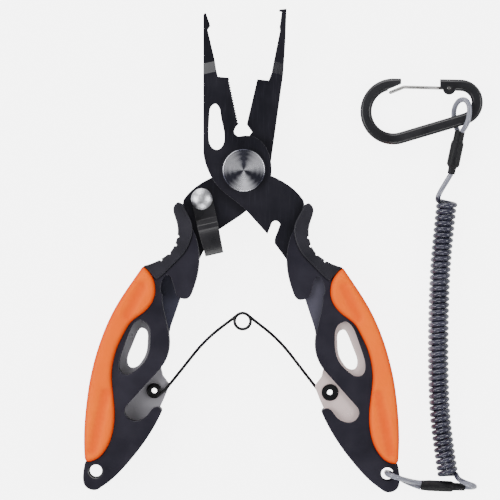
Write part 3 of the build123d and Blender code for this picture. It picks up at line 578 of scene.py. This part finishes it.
# The coil is painted darker than the free stretches: painted shade of its close turns.
coil_shade_mask = combine(cord_tree, "MULTIPLY", right_of_loop, between_tails)
cord_shader = cord_tree.nodes["Principled BSDF"]
coil_colour = cord_shader.inputs["Base Color"].links[0].from_socket
cord_tree.links.new(blend_colours(cord_tree, coil_shade_mask, (0.42, 0.43, 0.52), coil_colour),
                    cord_shader.inputs["Base Color"])
cord_core = finish_of("cord_core", (0.008, 0.008, 0.014), (0.02, 0.02, 0.03), (0.4, 0.5), (2600, 300), 0.01,
                      {"Specular IOR Level": 0.5})
for stretch in (cord_main, cord_lower, cord_upper):
    stretch.data.materials.append(smoky_coating)
    cores[stretch.name].data.materials.append(cord_core)

# %% Give the frame's own parts their finishes
finish_for_slot = {"blackened_steel": front_steel, "turned_steel": turned_steel, "plain_steel": plain_steel,
                   "gunmetal_sheet": gunmetal_sheet, "bright_chrome": bright_chrome,
                   "gloss_black_wire": gloss_black_wire, "charcoal_nylon": charcoal_nylon,
                   "black_rubber": black_rubber, "orange_rubber": orange_rubber, "heat_shrink": heat_shrink,
                   "smoky_cord": smoky_coating, "crimp_aluminium": crimp_aluminium,
                   "black_anodised": black_anodised, "bright_wire": bright_wire}
slot_of = {part["node"]: part["material_slot"] for part in frame["record"]["subparts"]}
for name, node in frame["nodes"].items():
    for material_slot in node.material_slots:
        material_slot.material = finish_for_slot[slot_of[name]]
print("frame parts finished", len(frame["nodes"]))

# %% [markdown]
# ## Pieces from the frame's shapes
# The frame's parts have exact outlines but razor edges, and no real edge is that sharp. A copy of a
# part is merged, its flat faces are joined into single faces, and a bevel rounds its edges. Where a
# bevel is too wide for a tight corner, a many-sided face crosses itself and shades black, so narrower
# bevels are tried until none does. Weighted normals keep the flats flat next to the small rounds.

# %% Bevelled copy of a frame part
nodes_of_body = frame["record"]["behaviour"]["bodies"]
body_of_node = {node: body for body, nodes in nodes_of_body.items() for node in nodes}


def merged_copy(node):
    """A piece with a merged copy of a frame part's mesh, its faces pointing outwards."""
    mesh = frame["nodes"][node].data.copy()
    piece = bpy.data.objects.new(node + "_piece", mesh)
    mesh.name = piece.name
    bpy.context.scene.collection.objects.link(piece)
    select_only(piece)
    bpy.ops.object.mode_set(mode="EDIT")
    bpy.ops.mesh.select_all(action="SELECT")
    bpy.ops.mesh.remove_doubles(threshold=0.003 * MM)
    bpy.ops.mesh.normals_make_consistent(inside=False)
    bpy.ops.object.mode_set(mode="OBJECT")
    return piece


def apply_modifiers(piece):
    """Applies all of a piece's modifiers, first to last."""
    select_only(piece)
    for name in [modifier.name for modifier in piece.modifiers]:
        bpy.ops.object.modifier_apply(modifier=name)


def stand_for(piece, node, material):
    """The piece takes a frame part's place, body and finish."""
    piece.data.materials.clear()
    piece.data.materials.append(material)
    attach(piece, body_of_node[node])
    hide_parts(node)


LONG_CREASE = 2.5 * MM


def mark_long_creases(piece):
    """Keeps long shallow creases sharp, so that the flats on both sides stay flat."""
    bpy.ops.object.mode_set(mode="EDIT")
    bpy.ops.mesh.select_mode(type="EDGE")
    bpy.ops.mesh.select_all(action="DESELECT")
    bpy.ops.mesh.edges_select_sharp(sharpness=radians(3))
    bpy.ops.object.mode_set(mode="OBJECT")
    for edge in piece.data.edges:
        start, end = (piece.data.vertices[number].co for number in edge.vertices)
        edge.select = edge.select and (start - end).length > LONG_CREASE
    bpy.ops.object.mode_set(mode="EDIT")
    bpy.ops.mesh.mark_sharp()
    bpy.ops.object.mode_set(mode="OBJECT")


def faces_overlap(piece):
    """True if a many-sided face crosses itself: its triangles then cover more than the face."""
    mesh = piece.data
    mesh.calc_loop_triangles()
    by_triangles = sum(triangle.area for triangle in mesh.loop_triangles)
    by_faces = sum(face.area for face in mesh.polygons)
    return by_triangles > 1.001 * by_faces


def rounded_copy(node, width, segments, angle):
    """A frame part's copy with edges rounded by a width."""
    piece = merged_copy(node)
    bpy.ops.object.mode_set(mode="EDIT")
    bpy.ops.mesh.select_all(action="SELECT")
    bpy.ops.mesh.dissolve_limited(angle_limit=radians(0.6))
    bpy.ops.object.mode_set(mode="OBJECT")
    mark_long_creases(piece)
    bevel = piece.modifiers.new("round", "BEVEL")
    bevel.width = width * MM
    bevel.segments = segments
    bevel.limit_method = "ANGLE"
    bevel.angle_limit = radians(angle)
    bevel.use_clamp_overlap = False
    apply_modifiers(piece)
    return piece


BEVEL_SHARES = (1, 0.75, 0.5, 0.35, 0.2, 0.1)


def bevelled(node, width, material, segments=2, angle=30):
    """A frame part's copy with rounded edges, as wide as its tightest corners allow."""
    for share in BEVEL_SHARES:
        piece = rounded_copy(node, width * share, segments, angle)
        if share == BEVEL_SHARES[-1] or not faces_overlap(piece):
            break
        bpy.data.objects.remove(piece)
    bpy.ops.object.shade_smooth_by_angle(angle=radians(40))
    weighted = piece.modifiers.new("flats", "WEIGHTED_NORMAL")
    weighted.keep_sharp = True
    apply_modifiers(piece)
    stand_for(piece, node, material)
    print(piece.name, len(piece.data.polygons), "faces, edge", round(width * share, 3), "mm")
    return piece


def round_wire(node, material):
    """A frame part of round wire, merged and shaded smooth."""
    piece = merged_copy(node)
    bpy.ops.object.shade_smooth_by_angle(angle=radians(50))
    stand_for(piece, node, material)
    print(piece.name, len(piece.data.polygons), "faces")
    return piece


# %% Levers and scales
bevelled("front_lever_plate", 0.13, front_steel)
bevelled("back_lever_plate", 0.13, back_steel)
for side in ("left", "right"):
    bevelled(side + "_scale_front", 0.4, charcoal_nylon, 3)
    bevelled(side + "_scale_back", 0.4, charcoal_nylon, 3)

# %% Small hard parts
bevelled("latch", 0.12, gunmetal_sheet, 3)
bevelled("latch_washer", 0.05, plain_steel)
bevelled("pivot_nut", 0.1, plain_steel)
bevelled("carabiner_body", 0.18, black_anodised, 3, 25)
for side in ("left", "right"):
    bevelled(side + "_spring_eyelet", 0.07, gloss_black_wire)
    round_wire("spring_" + side + "_arm", gloss_black_wire)
round_wire("carabiner_gate", bright_wire)
bevelled("lanyard_lower_sleeve", 0.2, heat_shrink, 3, 20)
bevelled("lanyard_upper_sleeve", 0.2, heat_shrink, 3, 20)

# %% [markdown]
# ## Orange grips
# A rubber grip is moulded soft: no flat meets another at an edge. A voxel remesh turns the copy into
# an even skin, and smoothing that skin draws the edges into rounds and crowns the faces. A small push
# outwards gives back the size that smoothing takes. Two shallow grooves, where fingers rest, are then
# pressed into each grip with proportional editing. The thumb rests get the same skin, only finer.

# %% Soften the grips
def softened(node, voxel, passes, push, material):
    """A frame part's copy as one soft skin."""
    piece = merged_copy(node)
    remesh = piece.modifiers.new("skin", "REMESH")
    remesh.mode = "VOXEL"
    remesh.voxel_size = voxel * MM
    smooth = piece.modifiers.new("soften", "SMOOTH")
    smooth.factor = 0.5
    smooth.iterations = passes
    swell = piece.modifiers.new("swell", "DISPLACE")
    swell.strength = push * MM
    swell.mid_level = 0
    apply_modifiers(piece)
    bpy.ops.object.shade_smooth()
    stand_for(piece, node, material)
    print(piece.name, len(piece.data.polygons), "faces")
    return piece


GROOVE_CORE = 0.35 * MM  # vertices this near a route go down by the whole depth
FACE_HEIGHT = 4 * MM  # and only those this far from the middle plane


def press_groove(piece, route, width, depth):
    """Presses a soft groove into the top and the underside of a piece along a route."""
    for face_side in (1, -1):
        select_only(piece)
        for vertex in piece.data.vertices:
            near_route = min((vertex.co.xy - point.xy).length for point in route) < GROOVE_CORE
            vertex.select = near_route and (vertex.co.z - MIDDLE_HEIGHT) * face_side > FACE_HEIGHT
        bpy.ops.object.mode_set(mode="EDIT")
        bpy.ops.mesh.select_mode(type="VERT")
        bpy.ops.transform.translate(value=(0, 0, -depth * face_side), use_proportional_edit=True,
                                    proportional_edit_falloff="SMOOTH", proportional_size=width)
        bpy.ops.mesh.select_all(action="DESELECT")
        bpy.ops.object.mode_set(mode="OBJECT")


def spread(start, end, count):
    """Points spread evenly between two places."""
    return [start.lerp(end, step / (count - 1)) for step in range(count)]


for side, mirror in (("left", -1), ("right", 1)):
    grip = softened(side + "_grip", 0.33, 22, 0.05, orange_rubber)
    upper_groove = spread(mm(mirror * 26.3, -9.5, 0), mm(mirror * 30.2, -17.5, 0), 18)
    lower_groove = spread(mm(mirror * 35.6, -37.5, 0), mm(mirror * 38.8, -52.5, 0), 30)
    press_groove(grip, upper_groove, 2.0 * MM, 0.5 * MM)
    press_groove(grip, lower_groove, 2.0 * MM, 0.55 * MM)
    softened(side + "_thumb_rest", 0.16, 7, 0.02, black_rubber)

# %% [markdown]
# ## Pivot cap
# The cap is turned on a lathe, so its face carries fine rings round a shallow dish. A cylinder with
# many sides gets its shank first, inset and extruded from its underside. Its top is then inset again
# and again, and the rings go down and up a little by turns.

# %% Turn the pivot cap
cap_low, cap_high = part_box("pivot_bolt")
pivot_at = Vector(((cap_low[0] + cap_high[0]) / 2, (cap_low[1] + cap_high[1]) / 2, 0))
CAP_RADIUS = (cap_high[0] - cap_low[0]) / 2
CAP_TOP = cap_high[2]
SEAT_GAP = 0.02 * MM
CAP_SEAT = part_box("front_lever_plate")[1][2] + SEAT_GAP
bpy.ops.object.select_all(action="DESELECT")
bpy.ops.mesh.primitive_cylinder_add(vertices=160, radius=CAP_RADIUS, depth=CAP_TOP - CAP_SEAT,
                                    location=(pivot_at.x, pivot_at.y, (CAP_TOP + CAP_SEAT) / 2))
pivot_cap = bpy.context.object
pivot_cap.name = pivot_cap.data.name = "pivot_cap"
bpy.ops.object.transform_apply(location=True, rotation=True, scale=True)


def select_top(piece):
    """Selects the faces of a piece that look up at its greatest height."""
    bpy.ops.mesh.select_all(action="DESELECT")
    bpy.ops.object.mode_set(mode="OBJECT")
    top = max(vertex.co.z for vertex in piece.data.vertices)
    for face in piece.data.polygons:
        face.select = face.normal.z > 0.9 and face.center.z > top - 0.01 * MM
    bpy.ops.object.mode_set(mode="EDIT")


SHANK_RADIUS = 2.5 * MM
for face in pivot_cap.data.polygons:
    face.select = face.normal.z < -0.9
bpy.ops.object.mode_set(mode="EDIT")
bpy.ops.mesh.select_mode(type="FACE")
bpy.ops.mesh.inset(thickness=CAP_RADIUS - SHANK_RADIUS)
bpy.ops.mesh.extrude_region_move(TRANSFORM_OT_translate={"value": (0, 0, cap_low[2] - CAP_SEAT)})
bpy.ops.mesh.select_all(action="SELECT")
bpy.ops.mesh.normals_make_consistent(inside=False)
select_top(pivot_cap)
RIM_WIDTH = 0.32 * MM
bpy.ops.mesh.inset(thickness=RIM_WIDTH)
bpy.ops.transform.translate(value=(0, 0, 0.001 * MM))
RINGS = 19
RING_WIDTH = 0.26 * MM
RING_DROP = 0.011 * MM  # how far each ring lies below the last, which makes the dish
RING_RELIEF = 0.012 * MM  # and how far it is out of that slope, down and up by turns
for ring in range(RINGS):
    bpy.ops.mesh.inset(thickness=RING_WIDTH)
    drop = RING_DROP + (RING_RELIEF if ring % 2 else -RING_RELIEF)
    bpy.ops.transform.translate(value=(0, 0, -drop))
bpy.ops.object.mode_set(mode="OBJECT")
cap_bevel = pivot_cap.modifiers.new("rim", "BEVEL")
cap_bevel.width = 0.3 * MM
cap_bevel.segments = 4
cap_bevel.limit_method = "ANGLE"
cap_bevel.angle_limit = radians(50)
apply_modifiers(pivot_cap)
bpy.ops.object.shade_smooth_by_angle(angle=radians(40))
pivot_cap.data.materials.append(turned_steel)
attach(pivot_cap, body_of_node["pivot_bolt"])
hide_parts("pivot_bolt")
print("cap faces", len(pivot_cap.data.polygons))

# %% [markdown]
# The long cord leaves the lower sleeve, and its far end is fastened into the upper sleeve, next to the
# small loop and the carabiner; the pieces on that end are only listed here. The lower loop is a cord
# of its own. The cords and their cores then become smooth meshes, and the two cords are measured.

on_the_end = [bpy.data.objects[name] for name in ("lanyard_upper_sleeve_piece", "carabiner_body_piece",
                                                  "carabiner_gate_piece", "cord_upper_loop",
                                                  "cord_upper_loop_core", "cord_coil_core")]
on_the_end += [frame["nodes"][name] for name in ("lanyard_upper_ferrule", "carabiner_gate_pin")]
main_line = points_of(cord_main)
lower_line = points_of(cord_lower)
for stretch in (cord_main, cord_lower, cord_upper, *cores.values()):
    select_only(stretch)
    bpy.ops.object.convert(target="MESH")
    bpy.ops.object.shade_smooth()
print("cord lengths", round(length_of(main_line), 3), round(length_of(lower_line), 3))
